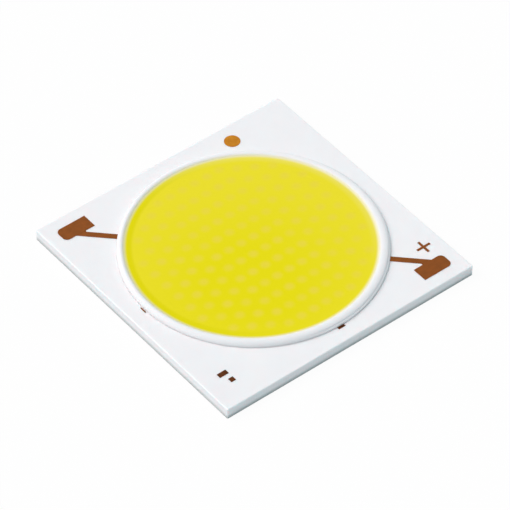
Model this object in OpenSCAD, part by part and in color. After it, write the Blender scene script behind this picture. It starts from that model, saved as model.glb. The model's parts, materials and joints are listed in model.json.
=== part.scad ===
// Chip-on-board LED. A white ceramic plate carries a round field of blue chips, wired in equal
// series strings between two printed bus arcs. A silicone dam rings the field, and a yellow
// phosphor fill covers the chips and their bond wires.
// Millimetres. The origin is the centre of the plate's underside, and light leaves along +Z.

/* [Ceramic plate] */
// Side of the square plate
plate_side = 23.85; // [23.4:0.05:30]
// Thickness of the plate
plate_t = 0.97; // [0.5:0.01:2]
// Rounding of the plate's four upper edges
plate_edge_r = 0.08; // [0.03:0.01:0.2]
// Rounding of the plate's four upright corners
plate_corner_r = 0.12; // [0.05:0.01:0.5]

/* [Conductor film] */
// Thickness of the fired film that makes the pads, traces, buses and marks
film_t = 0.02; // [0.01:0.005:0.04]
// Length of each solder pad, along the plate's side
pad_l = 2.75; // [2.2:0.05:3.2]
// Width of each solder pad
pad_w = 1.35; // [1:0.05:1.6]
// Extra thickness of each pad, which is printed twice
pad_build = 0.01; // [0.005:0.005:0.03]
// Rounding of each pad's two outer corners
pad_r = 0.42; // [0.1:0.01:0.48]
// Bare ceramic between each pad and the plate's edges
pad_margin = 1.1; // [0.6:0.05:1.2]
// Width of the diagonal trace that joins a pad to its bus
trace_w = 0.5; // [0.3:0.05:0.6]
// Fillet in the sharp corner between trace and pad
trace_fillet_r = 0.1; // [0.02:0.01:0.15]
// Width of each bus arc
bus_w = 0.7; // [0.4:0.05:0.85]
// Bare ceramic between the chip field and the bus arcs
bus_gap = 0.08; // [0.04:0.01:0.2]
// Width of bus left bare inside the dam, where the wires land
bus_land = 0.21; // [0.16:0.01:0.3]
// Angle that each bus runs on past its last wire
bus_overrun = 4; // [1:0.5:8]

/* [Chips] */
// Distance between neighbouring chip columns
col_pitch = 1.2; // [1.1:0.01:1.24]
// Distance between neighbouring chips in one column
row_pitch = 1.47; // [1.4:0.01:1.52]
// Width of a chip, across its column
chip_w = 0.56; // [0.3:0.01:0.8]
// Length of a chip, along its column
chip_l = 0.88; // [0.6:0.01:1]
// Thickness of a chip
chip_t = 0.12; // [0.08:0.01:0.2]
// Thickness of the adhesive under a chip
glue_t = 0.015; // [0.01:0.005:0.03]

/* [Bond wires] */
// Diameter of the wire
wire_d = 0.03; // [0.02:0.005:0.04]
// Rise of a wire's arch over the line between its two ends
wire_rise = 0.11; // [0.08:0.01:0.14]
// Distance of a bond from the end of its chip
bond_inset = 0.12; // [0.06:0.01:0.2]

/* [Dam and phosphor] */
// Width of the dam's bead where it stands on the plate
dam_w = 0.88; // [0.7:0.01:1]
// Height of the dam's crest over the flat of the fill
dam_rise = 0.14; // [0.12:0.01:0.25]
// Depth of phosphor over the highest wire
wire_cover = 0.05; // [0.02:0.01:0.15]
// Radius of the meniscus that the fill draws up the dam
meniscus_r = 0.5; // [0.3:0.05:0.8]
// Angle at which the meniscus meets the dam
wetting_angle = 15; // [8:1:30]

/* [Marks] */
// Diameter of the round temperature point
temp_d = 1.3; // [0.6:0.05:1.6]
// Distance of the temperature point from the far edge of the plate
temp_from_far = 1.7; // [1.1:0.01:1.8]
// Bare ceramic between the temperature point and the dam's foot
temp_gap = 0.69; // [0.3:0.01:1.5]
// Length of the polarity sign's two arms
plus_size = 1.27; // [0.8:0.01:1.5]
// Width of the polarity sign's two arms
plus_w = 0.2; // [0.1:0.01:0.3]
// Distance of the polarity sign from the right edge of the plate
plus_from_right = 1.68; // [1.3:0.01:2]
// Gap between the polarity sign and the pad below it
plus_gap = 0.8; // [0.3:0.01:1]
// Length of the corner bar
bar_l = 0.82; // [0.5:0.01:1.2]
// Width of the corner bar, and side of the square below it
bar_w = 0.42; // [0.2:0.01:0.5]
// Gap between the corner bar and the square
bar_gap = 0.44; // [0.2:0.01:0.6]
// Distance of the bar and square from the left edge of the plate
bar_from_left = 2.38; // [1.5:0.01:2.6]
// Distance of the square from the near edge of the plate
bar_from_near = 2; // [1:0.01:2.3]
// Length of the two centre marks at the dam's foot
centre_mark_l = 0.62; // [0.3:0.01:1]
// Width of the centre mark on the left
side_mark_w = 0.1; // [0.06:0.01:0.2]
// Gap between the left centre mark and the dam's foot
side_mark_gap = 0.05; // [0.03:0.01:0.2]
// Width of the near centre mark, which runs in under the dam
near_mark_w = 0.4; // [0.3:0.01:0.6]
// Width of the near centre mark that stays clear of the dam
near_mark_show = 0.22; // [0.1:0.01:0.28]

/* [Hidden] */
$fn = 96;
STRING_N = 12;       // chips in series in each string, and strings side by side
WIRE_SIDES = 6;      // flats round a bond wire
WIRE_FN = 24;        // steps of a wire's arch, where it is drawn as a mesh
SPARE = 1;           // length by which a cutting solid passes what it cuts
ALL_CORNERS = [[1, 1], [-1, 1], [-1, -1], [1, -1]];
OUTER_CORNERS = [[1, 1], [1, -1]];
TOP_CORNERS = [[1, 1], [-1, 1]];

half = plate_side / 2;
chip_top = glue_t + chip_t;
fill_h = chip_top + wire_rise + wire_d / 2 + wire_cover;
dam_h = fill_h + dam_rise;

// Chip places are [column, row], counted in pitches from the plate's centre. The middle six
// columns are one string each. On each side, three strings share the four staggered columns.
west_outer = [for (k = [0:5]) each [[-5.5, 3 - k], [-6.5, 2.5 - k]]];
west_middle = concat(
    [[-5.5, 4]],
    [for (k = [0:6]) [-4.5, 3.5 - k]],
    [[-5.5, -3], [-4.5, -3.5], [-5.5, -4], [-4.5, -4.5]]
);
west_inner = concat([[-3.5, 5], [-4.5, 4.5]], [for (k = [0:9]) [-3.5, 4 - k]]);
west = [west_outer, west_middle, west_inner];
middle = [for (column = [-2.5:2.5]) [for (k = [0:STRING_N - 1]) [column, 5.5 - k]]];
east = [for (s = [2:-1:0]) [for (k = [STRING_N - 1:-1:0]) -west[s][k]]];
STRINGS = concat(west, middle, east);

// The chip field's outermost corner sets the bus arcs, and they set the dam.
field_r = max([for (s = STRINGS) for (g = s) norm([abs(spot(g).x) + chip_w / 2, abs(spot(g).y) + chip_l / 2])]);
bus_in = field_r + bus_gap;
bus_out = bus_in + bus_w;
land_r = bus_in + bus_land / 2;
dam_in = bus_in + bus_land;
dam_r = dam_in + dam_w / 2;
dam_out = dam_in + dam_w;

// The dam's section is one circle, cut off by the plate.
bead_r = (pow(dam_w / 2, 2) + pow(dam_h, 2)) / (2 * dam_h);
bead_z = dam_h - bead_r;

// The meniscus is a circle that crosses the bead's circle at the wetting angle.
centres_apart = sqrt(pow(bead_r, 2) + pow(meniscus_r, 2) + 2 * bead_r * meniscus_r * cos(wetting_angle));
meniscus_up = fill_h + meniscus_r - bead_z;
meniscus_x = dam_r - sqrt(pow(centres_apart, 2) - pow(meniscus_up, 2));
contact_share = (pow(centres_apart, 2) + pow(bead_r, 2) - pow(meniscus_r, 2)) / (2 * pow(centres_apart, 2));
fill_limit_z = bead_z + contact_share * meniscus_up;

// The anode bus reaches every string's lower end. The cathode bus is the same, turned half round.
lower_ends = [for (s = STRINGS) low_bond(s[STRING_N - 1])];
end_angles = [for (p = lower_ends) atan2(p.y, p.x)];
bus_from = min(end_angles) - bus_overrun;
bus_to = max(end_angles) + bus_overrun;

// The temperature point keeps its distance from the plate's far edge and its gap to the dam. Where
// the dam ends far from that edge, the point lies on the centre line.
temp_y = half - temp_from_far;
temp_x = sqrt(max(0, pow(dam_out + temp_gap + temp_d / 2, 2) - pow(temp_y, 2)));

numbers = [for (k = [1:STRING_N]) str(k < 10 ? "0" : "", k)];
chip_names = [for (n = numbers) str("chip_string_", n)];
wire_names = [for (n = numbers) str("bond_wires_", n)];

function spot(g) = [g.x * col_pitch, g.y * row_pitch];
function high_bond(g) = spot(g) + [0, chip_l / 2 - bond_inset];
function low_bond(g) = spot(g) - [0, chip_l / 2 - bond_inset];
function on_chip(p) = [p.x, p.y, chip_top];
function on_bus(p) = let (q = p * land_r / norm(p)) [q.x, q.y, film_t];

// Each wire of a string as its two ends: bus to first chip, chip to chip, last chip to bus.
function wire_ends(s) = concat(
    [[on_bus(high_bond(s[0])), on_chip(high_bond(s[0]))]],
    [for (k = [0:STRING_N - 2]) [on_chip(low_bond(s[k])), on_chip(high_bond(s[k + 1]))]],
    [[on_chip(low_bond(s[STRING_N - 1])), on_bus(low_bond(s[STRING_N - 1]))]]
);

// A rectangle about the origin, with a rounding at each corner in `at`, given as [x sign, y sign].
module rounded_rect(size, r, at) {
    difference() {
        square(size, center = true);
        for (c = at)
            difference() {
                translate([c.x * size.x / 2, c.y * size.y / 2]) square(2 * r, center = true);
                translate([c.x * (size.x / 2 - r), c.y * (size.y / 2 - r)]) circle(r);
            }
    }
}

// The plate's section across one pair of sides, with its upper edges rounded.
module plate_section(turn) {
    rotate([90, 0, turn])
        linear_extrude(plate_side + 2 * SPARE, center = true)
            translate([0, plate_t / 2])
                rounded_rect([plate_side, plate_t], plate_edge_r, TOP_CORNERS);
}

module ceramic_plate() {
    color("white")
        intersection() {
            linear_extrude(plate_t) rounded_rect([plate_side, plate_side], plate_corner_r, ALL_CORNERS);
            plate_section(0);
            plate_section(90);
        }
}

// Places a flat outline on the plate as fired film.
module film(t = film_t) {
    translate([0, 0, plate_t]) linear_extrude(t) children();
}

module bus_outline() {
    step = (bus_to - bus_from) / 4;
    intersection() {
        difference() {
            circle(bus_out);
            circle(bus_in);
        }
        polygon(concat([[0, 0]], [for (k = [0:4]) 2 * bus_out * [cos(bus_from + k * step), sin(bus_from + k * step)]]));
    }
}

// A pad lies in the corner of the plate, with its long side along the plate's near edge.
module pad_outline() {
    translate([half - pad_margin - pad_l / 2, -half + pad_margin + pad_w / 2])
        rounded_rect([pad_l, pad_w], pad_r, OUTER_CORNERS);
}

// The trace lies on the plate's diagonal, from inside the bus to the middle of the pad's width.
module trace_outline() {
    trace_from = bus_in + bus_w / 2;
    trace_to = sqrt(2) * (half - pad_margin - pad_w / 2);
    rotate(-45)
        translate([trace_from, -trace_w / 2])
            square([trace_to - trace_from, trace_w]);
}

// Fills the 45 degree corner between the trace's inner side and the pad's upper side. The corner
// lies at the origin, and the outline runs on a little into the trace and the pad.
module trace_fillet() {
    pad_top = -half + pad_margin + pad_w;
    reach = trace_fillet_r / tan(22.5);
    run_on = trace_w / 4;
    on_trace = reach * [-cos(45), sin(45)];
    translate([-pad_top - trace_w / sqrt(2), pad_top])
        difference() {
            polygon([[-reach, 0], [-reach, -run_on], [run_on, -run_on], on_trace + [run_on, run_on] / 2, on_trace]);
            rotate(157.5) translate([trace_fillet_r / sin(22.5), 0]) circle(trace_fillet_r);
        }
}

module conductor_outline() {
    bus_outline();
    pad_outline();
    trace_outline();
    trace_fillet();
}

module conductor() {
    film() conductor_outline();
    translate([0, 0, film_t]) film(pad_build) pad_outline();
}

module anode_conductor() {
    color("saddlebrown") conductor();
}

module cathode_conductor() {
    color("saddlebrown") rotate(180) conductor();
}

module temperature_point() {
    color("darkorange") film() translate([temp_x, temp_y]) circle(d = temp_d);
}

module polarity_plus() {
    plus_y = -half + pad_margin + pad_w + plus_gap + plus_size / 2;
    color("sienna")
        film()
            translate([half - plus_from_right, plus_y]) {
                square([plus_size, plus_w], center = true);
                square([plus_w, plus_size], center = true);
            }
}

module corner_square_mark() {
    color("saddlebrown") film() translate([-half + bar_from_left - bar_w, -half + bar_from_near]) square(bar_w);
}

module corner_bar_mark() {
    bar_y = -half + bar_from_near + bar_w + bar_gap;
    color("saddlebrown") film() translate([-half + bar_from_left - bar_l, bar_y]) square([bar_l, bar_w]);
}

module left_centre_mark() {
    mark_x = -dam_out - side_mark_gap - side_mark_w / 2;
    color("sienna") film() translate([mark_x, 0]) square([side_mark_w, centre_mark_l], center = true);
}

module near_centre_mark() {
    mark_y = -dam_out - near_mark_show + near_mark_w / 2;
    color("saddlebrown") film() translate([0, mark_y]) square([centre_mark_l, near_mark_w], center = true);
}

// A block of the given height on each place of one string.
module block_string(s, size, z) {
    for (g = s)
        translate([spot(g).x - size.x / 2, spot(g).y - size.y / 2, plate_t + z]) cube(size);
}

module chips(s) {
    block_string(s, [chip_w, chip_l, chip_t], glue_t);
}

module chip_string(number) {
    color("lightsteelblue") chips(STRINGS[number]);
}

module chip_adhesive() {
    color("ivory")
        for (s = STRINGS)
            block_string(s, [chip_w, chip_l, glue_t], 0);
}

// One wire is an arch in the upright plane through its two ends, run on a little at both ends.
module wire_arch(p, q) {
    span = q - p;
    length = norm(span);
    arch_r = (pow(length / 2, 2) + pow(wire_rise, 2)) / (2 * wire_rise);
    reach = asin(length / 2 / arch_r) + 2 * wire_d / arch_r * 180 / PI;
    translate((p + q) / 2)
        rotate([0, -atan2(span.z, norm([span.x, span.y])), atan2(span.y, span.x)])
            translate([0, 0, wire_rise - arch_r])
                rotate([90, 0, 0])
                    rotate(90 - reach)
                        rotate_extrude(angle = 2 * reach, $fn = WIRE_FN)
                            translate([arch_r, 0])
                                circle(d = wire_d, $fn = WIRE_SIDES);
}

module wire_arches(s) {
    translate([0, 0, plate_t])
        for (w = wire_ends(s)) wire_arch(w[0], w[1]);
}

// The arches end flush on the chips and on the bus.
module bond_wires(number) {
    color("gold")
        difference() {
            wire_arches(STRINGS[number]);
            chips(STRINGS[number]);
            linear_extrude(plate_t + film_t) square(plate_side, center = true);
        }
}

module silicone_dam() {
    color("whitesmoke")
        difference() {
            translate([0, 0, plate_t])
                rotate_extrude()
                    intersection() {
                        translate([dam_r, bead_z]) circle(bead_r);
                        translate([dam_r - dam_w, 0]) square([2 * dam_w, dam_h + SPARE]);
                    }
            anode_conductor();
            cathode_conductor();
            near_centre_mark();
        }
}

// The fill's half section: flat over the chips, and drawn up the dam's inner side.
module fill_section() {
    difference() {
        square([dam_r, fill_limit_z]);
        translate([dam_r, bead_z]) circle(bead_r);
        translate([0, fill_h]) square([meniscus_x, meniscus_r]);
        translate([meniscus_x, fill_h + meniscus_r]) circle(meniscus_r);
    }
}

module phosphor_fill() {
    color("gold")
        difference() {
            translate([0, 0, plate_t]) rotate_extrude() fill_section();
            anode_conductor();
            cathode_conductor();
            for (s = STRINGS) {
                block_string(s, [chip_w, chip_l, chip_top], 0);
                wire_arches(s);
            }
        }
}

ceramic_plate();
cathode_conductor();
anode_conductor();
temperature_point();
polarity_plus();
corner_bar_mark();
corner_square_mark();
left_centre_mark();
near_centre_mark();
chip_adhesive();
silicone_dam();
phosphor_fill();
for (k = [0:STRING_N - 1]) {
    chip_string(k);
    bond_wires(k);
}
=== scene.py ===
# %% [markdown]
# # A chip-on-board LED
# The object is a white ceramic plate, 24 mm square. It carries a round field of blue LED chips under
# yellow silicone, and a ring of white silicone holds that filling in. The plate, the chips, their wires
# and the printed metal come from the CAD model, each with its place in its mesh. This lesson makes the
# two soft pieces again as smooth meshes, and gives every piece the finish of its real material.

import json
import math

import bpy
from mathutils import Matrix, Vector


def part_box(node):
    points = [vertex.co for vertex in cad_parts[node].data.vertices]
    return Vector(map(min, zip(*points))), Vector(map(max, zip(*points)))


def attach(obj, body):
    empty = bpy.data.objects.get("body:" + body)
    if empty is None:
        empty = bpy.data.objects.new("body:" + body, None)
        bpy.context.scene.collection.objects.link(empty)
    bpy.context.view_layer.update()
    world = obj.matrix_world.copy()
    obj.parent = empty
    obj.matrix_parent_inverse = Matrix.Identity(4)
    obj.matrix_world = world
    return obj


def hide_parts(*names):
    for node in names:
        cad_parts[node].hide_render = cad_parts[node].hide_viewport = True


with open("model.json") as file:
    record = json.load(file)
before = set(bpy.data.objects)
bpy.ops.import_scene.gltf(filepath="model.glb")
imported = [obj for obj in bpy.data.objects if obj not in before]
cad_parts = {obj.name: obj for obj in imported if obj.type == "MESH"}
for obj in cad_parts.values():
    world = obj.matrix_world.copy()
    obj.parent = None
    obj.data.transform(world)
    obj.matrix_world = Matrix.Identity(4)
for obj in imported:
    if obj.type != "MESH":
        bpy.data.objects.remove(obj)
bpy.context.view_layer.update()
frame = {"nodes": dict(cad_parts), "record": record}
parts = frame["nodes"]

# %% [markdown]
# ## Sizes
# Blender works in metres, and the object is drawn in millimetres, so one name turns one into the other.
# What can be measured on the CAD model is measured there. The rest are the few sizes that the boxes of
# the pieces don't show: the bead's width, the filling's height, the light field's shift off the plate's
# centre and its direction, and the two distances between which the filling's yellow fades to white.

# %% Sizes of the plate, the dam and the filling
MM = 0.001
plate_low, plate_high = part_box("ceramic_plate")
dam_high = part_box("silicone_dam")[1]
side = plate_high.x - plate_low.x
plate_top = plate_high.z

dam_width = 0.88 * MM
dam_radius = dam_high.x - dam_width / 2
dam_height = dam_high.z - plate_top
bead_radius = ((dam_width / 2) ** 2 + dam_height**2) / (2 * dam_height)
bead_centre_z = dam_high.z - bead_radius
fill_height = 0.31 * MM
fill_top = plate_top + fill_height
fill_edge_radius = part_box("phosphor_fill")[1].x
fill_edge_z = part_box("phosphor_fill")[1].z
field_shift, field_turn = 0.16 * MM, math.radians(141.5)
field_centre = field_shift * Vector((math.cos(field_turn), math.sin(field_turn), 0))
fade_from, fade_to = 9.52 * MM, 10.0 * MM
print(f"plate {side / MM:.2f} mm, dam {2 * dam_radius / MM:.2f} mm across its crest")
print(f"dam {dam_height / MM:.2f} mm high")

# %% [markdown]
# ## Camera
# A small part is drawn well with a long lens from some way off, which keeps its parallel edges almost
# parallel. The camera looks down on one corner of the plate at about 45 degrees. Its three axes are
# worked out from those two angles and make its rotation, so nothing has to be aimed by eye.

# %% Camera
azimuth, elevation = math.radians(-38.5), math.radians(45.65)
right = Vector((math.cos(azimuth), math.sin(azimuth), 0))
back = Vector(
    (math.sin(azimuth) * math.cos(elevation), -math.cos(azimuth) * math.cos(elevation), math.sin(elevation)),
)
up = back.cross(right)
camera_place = side * (12.983 * back + 0.0050 * right + 0.0052 * up)

camera_data = bpy.data.cameras.new("camera")
camera_data.sensor_width = 36
camera_data.lens = 284.8
camera_data.clip_start = 0.01
camera = bpy.data.objects.new("camera", camera_data)
camera.matrix_world = Matrix.Translation(camera_place) @ Matrix((right, up, back)).transposed().to_4x4()
bpy.context.scene.collection.objects.link(camera)
bpy.context.scene.camera = camera
bpy.context.scene.view_settings.view_transform = "Standard"
print(f"camera {camera_place.length / MM:.0f} mm from the plate's centre")

# %% [markdown]
# ## Colours and nodes
# Artists pick colours as sRGB hex values, and Blender's sockets want linear light, so one function turns
# one into the other. Every material below is a handful of nodes, and one more function adds a node, sets
# its values and links its inputs. A key that starts with a small letter is one of the node's own
# settings. Any other key is an input, by its name or its number.

# %% Functions for colours and nodes
def linear(hex_colour):
    """An sRGB hex colour, such as "F0E020", as linear red, green, blue and alpha."""
    shares = [int(hex_colour[k : k + 2], 16) / 255 for k in (0, 2, 4)]
    return [s / 12.92 if s <= 0.04045 else ((s + 0.055) / 1.055) ** 2.4 for s in shares] + [1.0]


def add_node(tree, kind, settings=None, links=None):
    """A new node of that kind in the tree, with its settings made and its inputs linked."""
    node = tree.nodes.new(kind)
    for key, value in (settings or {}).items():
        if isinstance(key, str) and key[0].islower():
            setattr(node, key, value)
        else:
            node.inputs[key].default_value = value
    for key, output in (links or {}).items():
        tree.links.new(output, node.inputs[key])
    return node


def new_material(name):
    """An empty material, its node tree, its surface shader and the Object coordinates of its piece."""
    material = bpy.data.materials.new(name)
    material.use_nodes = True
    tree = material.node_tree
    surface = tree.nodes["Principled BSDF"]
    place = add_node(tree, "ShaderNodeTexCoord").outputs["Object"]
    return material, tree, surface, place


# %% [markdown]
# ## Alumina
# The plate is 96 percent alumina, pressed as a sheet, fired until its grains sinter, and cut apart with
# a laser. The fired face is white and satin, with a grain of a few hundredths of a millimetre and a
# very faint clouding. The cut sides keep the laser's fine upright scallops. They also carry painted
# shade, a grey-teal that deepens toward the floor, where the sides lie in shade; a real plate's sides
# may well be one tone all the way. Noise at the grain's size gives the satin break-up. A sine along the
# edge gives the scallops and a ramp on the height gives the painted shade, only where the surface stands
# upright.

# %% Sintered alumina
alumina, tree, surface, place = new_material("sintered_alumina")
cloud = add_node(tree, "ShaderNodeTexNoise", {"Scale": 1 / (3.0 * MM), "Detail": 3}, {"Vector": place})
tone = add_node(
    tree,
    "ShaderNodeMix",
    {"data_type": "RGBA", 6: linear("EFF0F3"), 7: linear("F5F6F8")},
    {0: cloud.outputs["Fac"]},
)

# The grain is drawn at 0.06 mm, a little coarser than it is, so that it shows.
grain = add_node(tree, "ShaderNodeTexNoise", {"Scale": 1 / (0.06 * MM), "Detail": 2}, {"Vector": place})
gloss = add_node(
    tree,
    "ShaderNodeMapRange",
    {"To Min": 0.42, "To Max": 0.58},
    {"Value": grain.outputs["Fac"]},
)
tree.links.new(gloss.outputs["Result"], surface.inputs["Roughness"])

facing = add_node(
    tree,
    "ShaderNodeSeparateXYZ",
    {},
    {0: add_node(tree, "ShaderNodeNewGeometry").outputs["Normal"]},
)
upright = add_node(
    tree,
    "ShaderNodeMapRange",
    {"interpolation_type": "SMOOTHSTEP", "From Min": 0.5, "From Max": 0.1, "To Min": 0, "To Max": 1},
    {
        "Value": add_node(
            tree, "ShaderNodeMath", {"operation": "ABSOLUTE"}, {0: facing.outputs["Z"]}
        ).outputs[0]
    },
)
along = add_node(tree, "ShaderNodeSeparateXYZ", {}, {0: place})
# Painted shade: the upright sides are tinted grey-teal (B2BBBA) toward the floor, where they lie in shade.
low = add_node(
    tree,
    "ShaderNodeMapRange",
    {"interpolation_type": "SMOOTHSTEP", "From Min": 0.5 * MM, "From Max": -0.05 * MM},
    {"Value": along.outputs["Z"]},
)
low_side_shade = add_node(
    tree,
    "ShaderNodeMath",
    {"operation": "MULTIPLY"},
    {0: low.outputs["Result"], 1: upright.outputs["Result"]},
)
side_shade_tone = add_node(
    tree,
    "ShaderNodeMix",
    {"data_type": "RGBA", 7: linear("B2BBBA")},
    {0: low_side_shade.outputs[0], 6: tone.outputs[2]},
)
tree.links.new(side_shade_tone.outputs[2], surface.inputs["Base Color"])
run = add_node(tree, "ShaderNodeMath", {"operation": "ADD"}, {0: along.outputs["X"], 1: along.outputs["Y"]})
turns = add_node(
    tree,
    "ShaderNodeMath",
    {"operation": "MULTIPLY", 1: 2 * math.pi / (0.16 * MM)},
    {0: run.outputs[0]},
)
scallop = add_node(tree, "ShaderNodeMath", {"operation": "SINE"}, {0: turns.outputs[0]})
cut = add_node(
    tree,
    "ShaderNodeMath",
    {"operation": "MULTIPLY"},
    {0: scallop.outputs[0], 1: upright.outputs["Result"]},
)
relief = add_node(
    tree,
    "ShaderNodeMath",
    {"operation": "MULTIPLY_ADD", 1: 0.5},
    {0: cut.outputs[0], 2: grain.outputs["Fac"]},
)
bump = add_node(
    tree,
    "ShaderNodeBump",
    {"Strength": 0.25, "Distance": 0.01 * MM},
    {"Height": relief.outputs[0]},
)
tree.links.new(bump.outputs["Normal"], surface.inputs["Normal"])
surface.inputs["IOR"].default_value = 1.6
surface.inputs["Specular IOR Level"].default_value = 0.35
surface.inputs["Subsurface Weight"].default_value = 1.0
surface.inputs["Subsurface Radius"].default_value = (0.8, 1.0, 1.0)
surface.inputs["Subsurface Scale"].default_value = 0.15 * MM
print("alumina:", len(tree.nodes), "nodes")

# %% [markdown]
# ## Fired metal film
# The pads, traces, buses and marks are one screen-printed metal paste, fired onto the ceramic. The film
# is 0.02 mm thick and never quite smooth: the screen's mesh and the grains of metal leave it satin, and
# the firing leaves it mottled. All four films share this make-up, and differ in colour, so a loop makes
# them. The mottling is half a millimetre across, and the grain is drawn at 0.05 mm.

# %% Fired copper, gold and dark metal films
films = {}
for name, deep, light in (
    ("fired_copper_film", "774418", "874B1A"),
    ("flash_gold_film", "AC6E12", "C08220"),
    ("dark_fired_film", "4A2408", "63340F"),
):
    film, tree, surface, place = new_material(name)
    mottle = add_node(tree, "ShaderNodeTexNoise", {"Scale": 1 / (0.5 * MM), "Detail": 3}, {"Vector": place})
    grain = add_node(tree, "ShaderNodeTexNoise", {"Scale": 1 / (0.05 * MM), "Detail": 2}, {"Vector": place})
    blend = add_node(
        tree,
        "ShaderNodeMath",
        {"operation": "MULTIPLY_ADD", 1: 0.35},
        {0: grain.outputs["Fac"], 2: mottle.outputs["Fac"]},
    )
    share = add_node(
        tree,
        "ShaderNodeMapRange",
        {"From Min": 0.45, "From Max": 0.9},
        {"Value": blend.outputs[0]},
    )
    tone = add_node(
        tree,
        "ShaderNodeMix",
        {"data_type": "RGBA", 6: linear(deep), 7: linear(light)},
        {0: share.outputs["Result"]},
    )
    gloss = add_node(
        tree,
        "ShaderNodeMapRange",
        {"To Min": 0.4, "To Max": 0.6},
        {"Value": grain.outputs["Fac"]},
    )
    bump = add_node(
        tree,
        "ShaderNodeBump",
        {"Strength": 0.3, "Distance": 0.005 * MM},
        {"Height": grain.outputs["Fac"]},
    )
    tree.links.new(tone.outputs[2], surface.inputs["Base Color"])
    tree.links.new(gloss.outputs["Result"], surface.inputs["Roughness"])
    tree.links.new(bump.outputs["Normal"], surface.inputs["Normal"])
    surface.inputs["Metallic"].default_value = 0.85
    films[name] = film
print("films:", sorted(films))

# %% [markdown]
# ## Chips, adhesive and wires
# A chip is a slip of sapphire with a thin layer of nitride on it, so it is smooth, glassy and a little
# blue. It is stuck down with clear silicone, which looks milky at its cut edge. The wires are drawn
# gold. All of them lie under the filling, and are finished all the same, because someone may lift it.

# %% Sapphire, die adhesive and gold wire
sapphire, tree, surface, place = new_material("sapphire_chip")
haze = add_node(tree, "ShaderNodeTexNoise", {"Scale": 1 / (0.2 * MM), "Detail": 2}, {"Vector": place})
tone = add_node(
    tree,
    "ShaderNodeMix",
    {"data_type": "RGBA", 6: linear("93A4BE"), 7: linear("B4C2D6")},
    {0: haze.outputs["Fac"]},
)
tree.links.new(tone.outputs[2], surface.inputs["Base Color"])
surface.inputs["Roughness"].default_value = 0.12
surface.inputs["IOR"].default_value = 1.77

adhesive, tree, surface, place = new_material("clear_die_adhesive")
haze = add_node(tree, "ShaderNodeTexNoise", {"Scale": 1 / (0.08 * MM), "Detail": 2}, {"Vector": place})
tone = add_node(
    tree,
    "ShaderNodeMix",
    {"data_type": "RGBA", 6: linear("DAD7C8"), 7: linear("EDEBE0")},
    {0: haze.outputs["Fac"]},
)
tree.links.new(tone.outputs[2], surface.inputs["Base Color"])
surface.inputs["Roughness"].default_value = 0.45
surface.inputs["IOR"].default_value = 1.41

gold_wire, tree, surface, place = new_material("drawn_gold_wire")
draw = add_node(tree, "ShaderNodeTexNoise", {"Scale": 1 / (0.03 * MM), "Detail": 1}, {"Vector": place})
gloss = add_node(
    tree,
    "ShaderNodeMapRange",
    {"To Min": 0.18, "To Max": 0.32},
    {"Value": draw.outputs["Fac"]},
)
tree.links.new(gloss.outputs["Result"], surface.inputs["Roughness"])
surface.inputs["Base Color"].default_value = linear("F2C46A")
surface.inputs["Metallic"].default_value = 1.0
print("inner materials:", sapphire.name, adhesive.name, gold_wire.name)

# %% [markdown]
# ## Finishes on the CAD pieces
# Each CAD piece keeps its own mesh and takes a new material in its slot. The record names the slots, so
# the loop goes by those, and no piece can be forgotten.

# %% Give each CAD piece its material
finish_of_slot = {
    "alumina": alumina,
    "copper_film": films["fired_copper_film"],
    "gold_film": films["flash_gold_film"],
    "dark_film": films["dark_fired_film"],
    "chip_sapphire": sapphire,
    "die_adhesive": adhesive,
    "gold_wire": gold_wire,
}
dressed = 0
for row in frame["record"]["subparts"]:
    if row["material_slot"] in finish_of_slot:
        part = parts[row["node"]]
        part.data.materials.clear()
        part.data.materials.append(finish_of_slot[row["material_slot"]])
        dressed += 1
print("CAD pieces with a new finish:", dressed)

# %% [markdown]
# ## The dam
# The dam is one bead of thick white silicone, laid by a needle that runs once round the field. Surface
# tension makes its section part of a circle. The section is a circle stood upright at the bead's place,
# cut off level with the plate, and spun round the plate's centre, which is just how the needle moves.

# %% Spin the dam's bead
bpy.ops.object.select_all(action="DESELECT")
bpy.ops.mesh.primitive_circle_add(
    vertices=120,
    radius=bead_radius,
    location=(dam_radius, 0, bead_centre_z),
    rotation=(math.pi / 2, 0, 0),
)
dam = bpy.context.object
dam.name = dam.data.name = "silicone_dam_bead"
bpy.ops.object.transform_apply(location=True, rotation=True, scale=True)
bpy.ops.object.mode_set(mode="EDIT")
bpy.ops.mesh.select_all(action="SELECT")
bpy.ops.mesh.bisect(plane_co=(0, 0, plate_top), plane_no=(0, 0, 1), clear_inner=True)
bpy.ops.mesh.edge_face_add()
bpy.ops.mesh.select_all(action="SELECT")
bpy.ops.mesh.spin(steps=360, angle=2 * math.pi, center=(0, 0, 0), axis=(0, 0, 1))
bpy.ops.mesh.select_all(action="SELECT")
bpy.ops.mesh.remove_doubles(threshold=0.001 * MM)
bpy.ops.mesh.normals_make_consistent(inside=False)
bpy.ops.object.mode_set(mode="OBJECT")
print("dam:", len(dam.data.polygons), "faces")

# %% [markdown]
# A dispensed bead is never quite even. It swells and thins by about a hundredth of its size, and where
# the needle passed twice, the upper lap leaves a soft crease along the outer flank, over a lower lip.
# The bead is drawn thicker there than on the far side, which puts the light field inside it 0.16 mm off
# the plate's centre. The first two are moves of the bead's points in or out from the bead's centre line. The
# last is a sideways move, which grows from nothing at the outer foot to all of it at the filling.


# %% Unevenness and lap line of the bead
def soft_step(value, start, end):
    """0 before start, 1 after end, and smooth between them."""
    share = min(max((value - start) / (end - start), 0), 1)
    return share * share * (3 - 2 * share)


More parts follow.
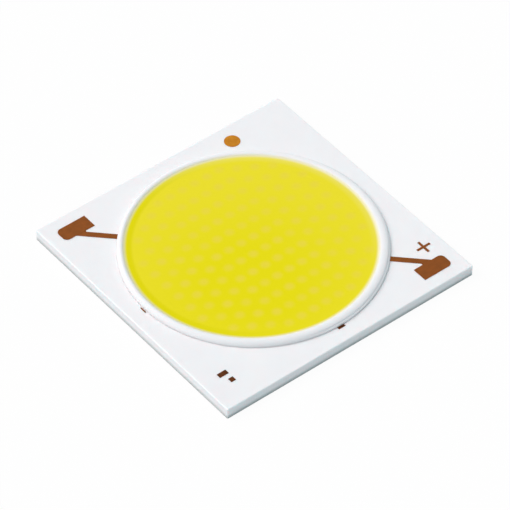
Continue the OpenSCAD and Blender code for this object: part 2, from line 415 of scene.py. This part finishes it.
lap_from, lap_to, lap_fade = -108, -28, 14
for point in dam.data.vertices:
    turn = math.degrees(math.atan2(point.co.y, point.co.x))
    outward = Vector((point.co.x, point.co.y, 0)).normalized()
    arm = point.co - outward * dam_radius - Vector((0, 0, bead_centre_z))
    height_angle = math.degrees(math.atan2(arm.z, arm.dot(outward)))
    waver = 0.008 * (math.sin(math.radians(3 * turn + 40)) + math.sin(math.radians(7 * turn)) - 2) / 2
    lap = soft_step(turn, lap_from, lap_from + lap_fade) * (1 - soft_step(turn, lap_to - lap_fade, lap_to))
    crease = -0.11 * math.exp(-(((height_angle - 36) / 8) ** 2)) + 0.03 * math.exp(
        -(((height_angle - 18) / 8) ** 2)
    )
    swell = waver + lap * crease if point.co.z > plate_top + 0.01 * MM else 0
    inner = soft_step(-arm.dot(outward), -dam_width / 2, dam_radius - fill_edge_radius)
    point.co += arm * swell + outward * inner * field_centre.dot(outward)
bpy.ops.object.shade_smooth_by_angle(angle=math.radians(50))
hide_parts("silicone_dam")
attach(dam, "root")
print("lap line from", lap_from, "to", lap_to, "degrees")

# %% [markdown]
# ## White silicone
# The dam's silicone is filled with a white powder, and lets light in by a few tenths of a millimetre
# before it scatters back out. That softens its shading, and along its inner side it takes the filling's
# yellow. The yellow fades to white over a third of a millimetre, by the distance from the field's centre.
# The filling fades over the same distance, so one function makes those nodes for both materials.


# %% White dam silicone
def fade_to_white(tree, place):
    """The flat place and distance from the field's centre, and the share of white: 1 out on the dam."""
    from_centre = add_node(
        tree,
        "ShaderNodeVectorMath",
        {"operation": "SUBTRACT", 1: field_centre},
        {0: place},
    )
    flat = add_node(
        tree,
        "ShaderNodeVectorMath",
        {"operation": "MULTIPLY", 1: (1, 1, 0)},
        {0: from_centre.outputs[0]},
    )
    reach = add_node(tree, "ShaderNodeVectorMath", {"operation": "LENGTH"}, {0: flat.outputs[0]})
    white_share = add_node(
        tree,
        "ShaderNodeMapRange",
        {"interpolation_type": "SMOOTHSTEP", "From Min": fade_from, "From Max": fade_to},
        {"Value": reach.outputs["Value"]},
    )
    return flat.outputs[0], reach.outputs["Value"], white_share.outputs["Result"]


white_silicone, tree, surface, place = new_material("white_dam_silicone")
flat_place, reach, white_share = fade_to_white(tree, place)
tone = add_node(
    tree,
    "ShaderNodeMix",
    {"data_type": "RGBA", 6: linear("EFE340"), 7: linear("F1F2F4")},
    {0: white_share},
)
tree.links.new(tone.outputs[2], surface.inputs["Base Color"])
ripple = add_node(tree, "ShaderNodeTexNoise", {"Scale": 1 / (0.4 * MM), "Detail": 2}, {"Vector": place})
bump = add_node(
    tree,
    "ShaderNodeBump",
    {"Strength": 0.2, "Distance": 0.02 * MM},
    {"Height": ripple.outputs["Fac"]},
)
tree.links.new(bump.outputs["Normal"], surface.inputs["Normal"])
surface.inputs["Roughness"].default_value = 0.6
surface.inputs["IOR"].default_value = 1.41
surface.inputs["Specular IOR Level"].default_value = 0.3
surface.inputs["Subsurface Weight"].default_value = 0.5
surface.inputs["Subsurface Radius"].default_value = (0.8, 1.0, 1.0)
surface.inputs["Subsurface Scale"].default_value = 0.15 * MM
dam.data.materials.append(white_silicone)
print("white silicone:", len(tree.nodes), "nodes")

# %% [markdown]
# ## The filling
# The filling is liquid silicone, thick with yellow phosphor powder, poured inside the dam and cured. It
# lies flat over the chips, and surface tension draws it up the dam's inner side in a small meniscus. It
# starts as a disc on the plate. The disc is extruded up to the line where the filling meets the dam, and
# inset in small steps that go down the meniscus to the flat.

# %% Pour the filling
bpy.ops.object.select_all(action="DESELECT")
bpy.ops.mesh.primitive_circle_add(
    vertices=360,
    radius=dam_radius - dam_width / 2,
    fill_type="NGON",
    location=field_centre + Vector((0, 0, plate_top)),
)
filling = bpy.context.object
filling.name = filling.data.name = "phosphor_filling"
bpy.ops.object.transform_apply(location=True, rotation=True, scale=True)
bpy.ops.object.mode_set(mode="EDIT")
bpy.ops.mesh.select_all(action="SELECT")
bpy.ops.mesh.extrude_region_move(TRANSFORM_OT_translate={"value": (0, 0, fill_edge_z - plate_top)})
spread = fill_edge_radius / (dam_radius - dam_width / 2)
bpy.ops.transform.resize(value=(spread, spread, 1), center_override=field_centre)

meniscus_radius = 0.5 * MM
edge_turn = math.acos(1 - (fill_edge_z - fill_top) / meniscus_radius)
steps = 8
for k in range(steps):
    start, end = edge_turn * (1 - k / steps), edge_turn * (1 - (k + 1) / steps)
    bpy.ops.mesh.inset(thickness=meniscus_radius * (math.sin(start) - math.sin(end)))
    bpy.ops.transform.translate(value=(0, 0, meniscus_radius * (math.cos(start) - math.cos(end))))
for ring in range(9):
    bpy.ops.mesh.inset(thickness=1 * MM)
bpy.ops.mesh.poke()
bpy.ops.mesh.select_all(action="SELECT")
bpy.ops.mesh.normals_make_consistent(inside=False)
bpy.ops.object.mode_set(mode="OBJECT")
bpy.ops.object.shade_smooth_by_angle(angle=math.radians(40))
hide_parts("phosphor_fill")
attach(filling, "root")
tops = [v.co.z for v in filling.data.vertices]
print(f"filling: {len(filling.data.polygons)} faces, z {min(tops) / MM:.3f} to {max(tops) / MM:.3f} mm")

# %% [markdown]
# ## Phosphor silicone
# The powder makes the silicone an opaque, matt yellow. Over each chip the layer is thinner, and the
# chip shows as a faint pale spot. The spots follow the chips' real pattern. Columns stand 1.2 mm apart
# and chips 1.47 mm apart in a column, and the fourth and sixth columns from the middle are shifted by
# half a chip. The nodes work out which cell of that pattern a point lies in and how far it is from the
# cell's middle, and a random value for each cell makes some chips show more than others.

# %% Yellow phosphor silicone: which chip lies below
phosphor, tree, surface, place = new_material("yellow_phosphor_silicone")
column_pitch, row_pitch = 1.2 * MM, 1.47 * MM
axes = add_node(tree, "ShaderNodeSeparateXYZ", {}, {0: place})
across = add_node(tree, "ShaderNodeMath", {"operation": "ABSOLUTE"}, {0: axes.outputs["X"]})
column_place = add_node(
    tree,
    "ShaderNodeMath",
    {"operation": "DIVIDE", 1: column_pitch},
    {0: across.outputs[0]},
)
column = add_node(tree, "ShaderNodeMath", {"operation": "FLOOR"}, {0: column_place.outputs[0]})
odd = add_node(tree, "ShaderNodeMath", {"operation": "MODULO", 1: 2}, {0: column.outputs[0]})
outer = add_node(tree, "ShaderNodeMath", {"operation": "GREATER_THAN", 1: 2.5}, {0: column.outputs[0]})
shifted = add_node(
    tree,
    "ShaderNodeMath",
    {"operation": "MULTIPLY"},
    {0: odd.outputs[0], 1: outer.outputs[0]},
)
row_place = add_node(tree, "ShaderNodeMath", {"operation": "DIVIDE", 1: row_pitch}, {0: axes.outputs["Y"]})
row_shifted = add_node(
    tree,
    "ShaderNodeMath",
    {"operation": "MULTIPLY_ADD", 1: 0.5},
    {0: shifted.outputs[0], 2: row_place.outputs[0]},
)
row = add_node(tree, "ShaderNodeMath", {"operation": "FLOOR"}, {0: row_shifted.outputs[0]})

# From the cell's middle, in metres.
off_column = add_node(
    tree,
    "ShaderNodeMath",
    {"operation": "SUBTRACT"},
    {0: column_place.outputs[0], 1: column.outputs[0]},
)
off_row = add_node(
    tree,
    "ShaderNodeMath",
    {"operation": "SUBTRACT"},
    {0: row_shifted.outputs[0], 1: row.outputs[0]},
)
off = add_node(tree, "ShaderNodeCombineXYZ", {}, {0: off_column.outputs[0], 1: off_row.outputs[0]})
off_middle = add_node(
    tree,
    "ShaderNodeVectorMath",
    {"operation": "SUBTRACT", 1: (0.5, 0.5, 0)},
    {0: off.outputs[0]},
)
off_scaled = add_node(
    tree,
    "ShaderNodeVectorMath",
    {"operation": "MULTIPLY", 1: (column_pitch * 0.92, row_pitch, 0)},
    {0: off_middle.outputs[0]},
)
off_length = add_node(tree, "ShaderNodeVectorMath", {"operation": "LENGTH"}, {0: off_scaled.outputs[0]})
spot = add_node(
    tree,
    "ShaderNodeMapRange",
    {"interpolation_type": "SMOOTHSTEP", "From Min": 0.57 * MM, "From Max": 0.08 * MM},
    {"Value": off_length.outputs["Value"]},
)

# Cells whose middle lies more than 9 mm out hold no chip.
side_of = add_node(tree, "ShaderNodeMath", {"operation": "SIGN"}, {0: axes.outputs["X"]})
cell = add_node(
    tree,
    "ShaderNodeCombineXYZ",
    {},
    {0: column.outputs[0], 1: row.outputs[0], 2: side_of.outputs[0]},
)
row_back = add_node(
    tree,
    "ShaderNodeMath",
    {"operation": "MULTIPLY_ADD", 1: -0.5},
    {0: shifted.outputs[0], 2: row.outputs[0]},
)
cell_flat = add_node(tree, "ShaderNodeCombineXYZ", {}, {0: column.outputs[0], 1: row_back.outputs[0]})
cell_middle = add_node(
    tree,
    "ShaderNodeVectorMath",
    {"operation": "ADD", 1: (0.5, 0.5, 0)},
    {0: cell_flat.outputs[0]},
)
cell_place = add_node(
    tree,
    "ShaderNodeVectorMath",
    {"operation": "MULTIPLY", 1: (column_pitch, row_pitch, 0)},
    {0: cell_middle.outputs[0]},
)
cell_reach = add_node(tree, "ShaderNodeVectorMath", {"operation": "LENGTH"}, {0: cell_place.outputs[0]})
in_field = add_node(
    tree,
    "ShaderNodeMath",
    {"operation": "LESS_THAN", 1: 9 * MM},
    {0: cell_reach.outputs["Value"]},
)
luck = add_node(tree, "ShaderNodeTexWhiteNoise", {"noise_dimensions": "3D"}, {"Vector": cell.outputs[0]})
shows = add_node(
    tree,
    "ShaderNodeMapRange",
    {"To Min": 0.7, "To Max": 1.0},
    {"Value": luck.outputs["Value"]},
)
chip_spot = add_node(
    tree,
    "ShaderNodeMath",
    {"operation": "MULTIPLY"},
    {0: spot.outputs["Result"], 1: in_field.outputs[0]},
)
chip_shows = add_node(
    tree,
    "ShaderNodeMath",
    {"operation": "MULTIPLY"},
    {0: chip_spot.outputs[0], 1: shows.outputs["Result"]},
)
print("chip pattern:", len(tree.nodes), "nodes")

# %% [markdown]
# The colour itself is built up in layers, as a painter would. First comes the body colour, deepest at one
# point and paler away from it. Then come the chips' pale spots, a band of painted shade round part of the
# edge, where the dam shades the filling and its meniscus turns from the key lamp, a faint painted glow of
# light on the other side, and the fade to white where the filling climbs the dam. All but the spots and
# the fade are judged, and a cured filling may be one even yellow.

# %% Yellow phosphor silicone: colour and surface
drift = add_node(tree, "ShaderNodeTexNoise", {"Scale": 1 / (4 * MM), "Detail": 2}, {"Vector": place})
from_deepest = add_node(
    tree,
    "ShaderNodeVectorMath",
    {"operation": "DISTANCE", 1: (-2.5 * MM, -3.1 * MM, fill_top)},
    {0: place},
)
paler = add_node(
    tree,
    "ShaderNodeMapRange",
    {"From Min": 3.5 * MM, "From Max": 11 * MM, "To Min": -0.1, "To Max": 0.9},
    {"Value": from_deepest.outputs["Value"]},
)
body_share = add_node(
    tree,
    "ShaderNodeMath",
    {"operation": "MULTIPLY_ADD", 1: 0.2},
    {0: drift.outputs["Fac"], 2: paler.outputs["Result"]},
)
body = add_node(
    tree,
    "ShaderNodeMix",
    {"data_type": "RGBA", 6: linear("E9DE0A"), 7: linear("EDE02A")},
    {0: body_share.outputs[0]},
)
spotted = add_node(
    tree,
    "ShaderNodeMix",
    {"data_type": "RGBA", 7: linear("EBDA40")},
    {0: chip_shows.outputs[0], 6: body.outputs[2]},
)

flat_place, reach, white_share = fade_to_white(tree, place)
outward = add_node(tree, "ShaderNodeVectorMath", {"operation": "NORMALIZE"}, {0: flat_place})
# Two painted edge layers: painted shade toward 155 degrees, where the dam shades the filling's rim, and a
# painted glow of light toward 30 degrees.
painted_shade_and_glow = []
for toward, turn_from, ring_from, ring_to, most in (
    (155, -0.25, 9.0, 9.32, 1.0),
    (30, 0.0, 9.0, 9.6, 0.08),
):
    aim = (math.cos(math.radians(toward)), math.sin(math.radians(toward)), 0)
    facing = add_node(
        tree,
        "ShaderNodeVectorMath",
        {"operation": "DOT_PRODUCT", 1: aim},
        {0: outward.outputs[0]},
    )
    on_side = add_node(
        tree,
        "ShaderNodeMapRange",
        {"interpolation_type": "SMOOTHSTEP", "From Min": turn_from, "From Max": 0.85, "To Max": most},
        {"Value": facing.outputs["Value"]},
    )
    in_ring = add_node(
        tree,
        "ShaderNodeMapRange",
        {"interpolation_type": "SMOOTHSTEP", "From Min": ring_from * MM, "From Max": ring_to * MM},
        {"Value": reach},
    )
    painted_shade_and_glow.append(add_node(
        tree,
        "ShaderNodeMath",
        {"operation": "MULTIPLY"},
        {0: on_side.outputs["Result"], 1: in_ring.outputs["Result"]},
    ))
# Painted shade: a deeper yellow (E3D902) along the rim toward 155 degrees.
with_painted_shade = add_node(
    tree,
    "ShaderNodeMix",
    {"data_type": "RGBA", 7: linear("E3D902")},
    {0: painted_shade_and_glow[0].outputs[0], 6: spotted.outputs[2]},
)
# Painted light: a faint pale glow (F4F5F7) along the rim toward 30 degrees.
with_painted_glow = add_node(
    tree,
    "ShaderNodeMix",
    {"data_type": "RGBA", 7: linear("F4F5F7")},
    {0: painted_shade_and_glow[1].outputs[0], 6: with_painted_shade.outputs[2]},
)
feathered = add_node(
    tree,
    "ShaderNodeMix",
    {"data_type": "RGBA", 7: linear("F4F5F7")},
    {0: white_share, 6: with_painted_glow.outputs[2]},
)
tree.links.new(feathered.outputs[2], surface.inputs["Base Color"])

# The powder's grains are drawn at 0.08 mm, coarser than they are, so that they show.
powder = add_node(tree, "ShaderNodeTexNoise", {"Scale": 1 / (0.08 * MM), "Detail": 2}, {"Vector": place})
swell = add_node(
    tree,
    "ShaderNodeMath",
    {"operation": "MULTIPLY_ADD", 1: 3},
    {0: drift.outputs["Fac"], 2: powder.outputs["Fac"]},
)
bump = add_node(
    tree,
    "ShaderNodeBump",
    {"Strength": 0.2, "Distance": 0.01 * MM},
    {"Height": swell.outputs[0]},
)
gloss = add_node(
    tree,
    "ShaderNodeMapRange",
    {"To Min": 0.5, "To Max": 0.65},
    {"Value": powder.outputs["Fac"]},
)
tree.links.new(gloss.outputs["Result"], surface.inputs["Roughness"])
tree.links.new(bump.outputs["Normal"], surface.inputs["Normal"])
surface.inputs["IOR"].default_value = 1.41
surface.inputs["Specular IOR Level"].default_value = 0.12
filling.data.materials.append(phosphor)
print("phosphor silicone:", len(tree.nodes), "nodes")

# %% [markdown]
# ## Floor
# The part lies on a white sheet. To the camera, and in reflections, the sheet is mostly a plain white
# of strength 1, and the rest is ordinary white paper, so that the part keeps a faint shadow. For every
# other ray it is paper, which throws light back up at the plate's sides as a real table does.

# %% White floor
bpy.ops.object.select_all(action="DESELECT")
bpy.ops.mesh.primitive_plane_add(size=2, location=(0, 0, 0))
floor = bpy.context.object
floor.name = floor.data.name = "white_sheet"
paper, tree, surface, place = new_material("white_paper")
surface.inputs["Base Color"].default_value = linear("F4F4F4")
surface.inputs["Roughness"].default_value = 1.0
surface.inputs["Specular IOR Level"].default_value = 0.0
rays = add_node(tree, "ShaderNodeLightPath")
seen = add_node(
    tree,
    "ShaderNodeMath",
    {"operation": "MAXIMUM"},
    {0: rays.outputs["Is Camera Ray"], 1: rays.outputs["Is Glossy Ray"]},
)
seen_all = add_node(
    tree,
    "ShaderNodeMath",
    {"operation": "MAXIMUM"},
    {0: seen.outputs[0], 1: rays.outputs["Is Transmission Ray"]},
)
share = add_node(tree, "ShaderNodeMath", {"operation": "MULTIPLY", 1: 0.94}, {0: seen_all.outputs[0]})
white = add_node(tree, "ShaderNodeEmission", {"Strength": 1.0})
mix = add_node(
    tree,
    "ShaderNodeMixShader",
    {},
    {0: share.outputs[0], 1: surface.outputs[0], 2: white.outputs[0]},
)
tree.links.new(mix.outputs[0], tree.nodes["Material Output"].inputs["Surface"])
floor.data.materials.append(paper)
print("floor:", floor.dimensions.x, "m across")

# %% [markdown]
# ## Light
# The light is a plain studio: a broad key lamp high on one side, and a cool even glow from all round.
# A sun lamp with a wide angle acts as a large soft box, and its strength is easy to reason about: pi
# watts per square metre, straight down, shows a white sheet as white. The glow fills the shaded sides.

# %% Key lamp and surrounding glow
key_from = Vector((-0.42, 0.42, 0.8))
bpy.ops.object.light_add(type="SUN", location=key_from)
key = bpy.context.object
key.name = key.data.name = "key_soft_box"
key.rotation_euler = key_from.to_track_quat("Z", "Y").to_euler()
key.data.energy = 0.715 * math.pi
key.data.angle = math.radians(60)
key.data.color = (1.0, 0.87, 0.845)

world = bpy.data.worlds.new("studio")
bpy.context.scene.world = world
world.use_nodes = True
tree = world.node_tree
glow = tree.nodes["Background"]
glow.inputs["Color"].default_value = (0.79, 0.95, 1.0, 1)
glow.inputs["Strength"].default_value = 0.50
rays = add_node(tree, "ShaderNodeLightPath")
seen = add_node(
    tree,
    "ShaderNodeMath",
    {"operation": "MAXIMUM"},
    {0: rays.outputs["Is Camera Ray"], 1: rays.outputs["Is Glossy Ray"]},
)
seen_all = add_node(
    tree,
    "ShaderNodeMath",
    {"operation": "MAXIMUM"},
    {0: seen.outputs[0], 1: rays.outputs["Is Transmission Ray"]},
)
white = add_node(tree, "ShaderNodeBackground", {"Color": (1, 1, 1, 1), "Strength": 1.0})
mix = add_node(
    tree,
    "ShaderNodeMixShader",
    {},
    {0: seen_all.outputs[0], 1: glow.outputs[0], 2: white.outputs[0]},
)
tree.links.new(mix.outputs[0], tree.nodes["World Output"].inputs["Surface"])
print("key lamp:", round(key.data.energy, 2), "W/m2, glow:", glow.inputs["Strength"].default_value)
